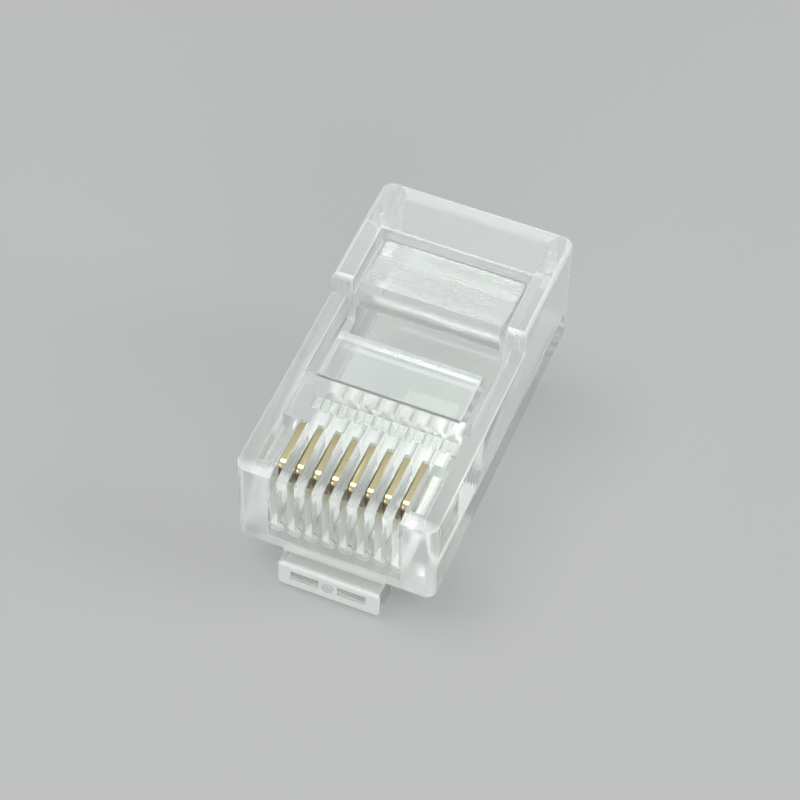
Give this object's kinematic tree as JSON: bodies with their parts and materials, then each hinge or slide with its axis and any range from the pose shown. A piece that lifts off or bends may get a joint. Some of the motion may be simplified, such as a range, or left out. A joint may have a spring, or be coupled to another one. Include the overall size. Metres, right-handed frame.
{
  "type": "rj45 modular plug",
  "caption": "Clear moulded modular plug for network cable, with a row of gilt blade contacts, a sprung latch and two hinged strain reliefs, not yet crimped.",
  "frame": {"origin": "middle of the nose face's lower edge: the plane of the nose face meets the plane of the latch side", "axes": "+X across the plug, +Y from the nose to the cable end, +Z from the latch side to the contact side"},
  "size_m": [0.0116, 0.0222, 0.012],
  "materials": {
    "clear_plastic": "clear polycarbonate, polished outside, matt in the cored faces",
    "gilt_contact": "gold-flashed phosphor bronze"
  },
  "bodies": {
    "housing": {"housing": "clear_plastic"},
    "latch": {"latch": "clear_plastic"},
    "wire_anchor": {"wire_anchor": "clear_plastic"},
    "jacket_anchor": {"jacket_anchor": "clear_plastic"},
    "contact_1": {"contact_1": "gilt_contact"},
    "contact_2": {"contact_2": "gilt_contact"},
    "contact_3": {"contact_3": "gilt_contact"},
    "contact_4": {"contact_4": "gilt_contact"},
    "contact_5": {"contact_5": "gilt_contact"},
    "contact_6": {"contact_6": "gilt_contact"},
    "contact_7": {"contact_7": "gilt_contact"},
    "contact_8": {"contact_8": "gilt_contact"}
  },
  "joints": [
    {"name": "latch_hinge", "type": "hinge", "parent": "housing", "child": "latch", "pos_m": [0, 0.0009, -0.00085], "axis": [1, 0, 0], "range_deg": [0, 11], "stiffness_Nm_per_rad": 0.4},
    {"name": "wire_anchor_hinge", "type": "hinge", "parent": "housing", "child": "wire_anchor", "pos_m": [0, 0.0075, 0.0059], "axis": [-1, 0, 0], "range_deg": [0, 20]},
    {"name": "jacket_anchor_hinge", "type": "hinge", "parent": "housing", "child": "jacket_anchor", "pos_m": [0, 0.0176, 0.0066], "axis": [1, 0, 0], "range_deg": [0, 20]},
    {"name": "contact_1_press", "type": "slide", "parent": "housing", "child": "contact_1", "axis": [0, 0, -1], "range_m": [0, 0.0003]},
    {"name": "contact_2_press", "type": "slide", "parent": "housing", "child": "contact_2", "axis": [0, 0, -1], "range_m": [0, 0.0003]},
    {"name": "contact_3_press", "type": "slide", "parent": "housing", "child": "contact_3", "axis": [0, 0, -1], "range_m": [0, 0.0003]},
    {"name": "contact_4_press", "type": "slide", "parent": "housing", "child": "contact_4", "axis": [0, 0, -1], "range_m": [0, 0.0003]},
    {"name": "contact_5_press", "type": "slide", "parent": "housing", "child": "contact_5", "axis": [0, 0, -1], "range_m": [0, 0.0003]},
    {"name": "contact_6_press", "type": "slide", "parent": "housing", "child": "contact_6", "axis": [0, 0, -1], "range_m": [0, 0.0003]},
    {"name": "contact_7_press", "type": "slide", "parent": "housing", "child": "contact_7", "axis": [0, 0, -1], "range_m": [0, 0.0003]},
    {"name": "contact_8_press", "type": "slide", "parent": "housing", "child": "contact_8", "axis": [0, 0, -1], "range_m": [0, 0.0003]}
  ]
}
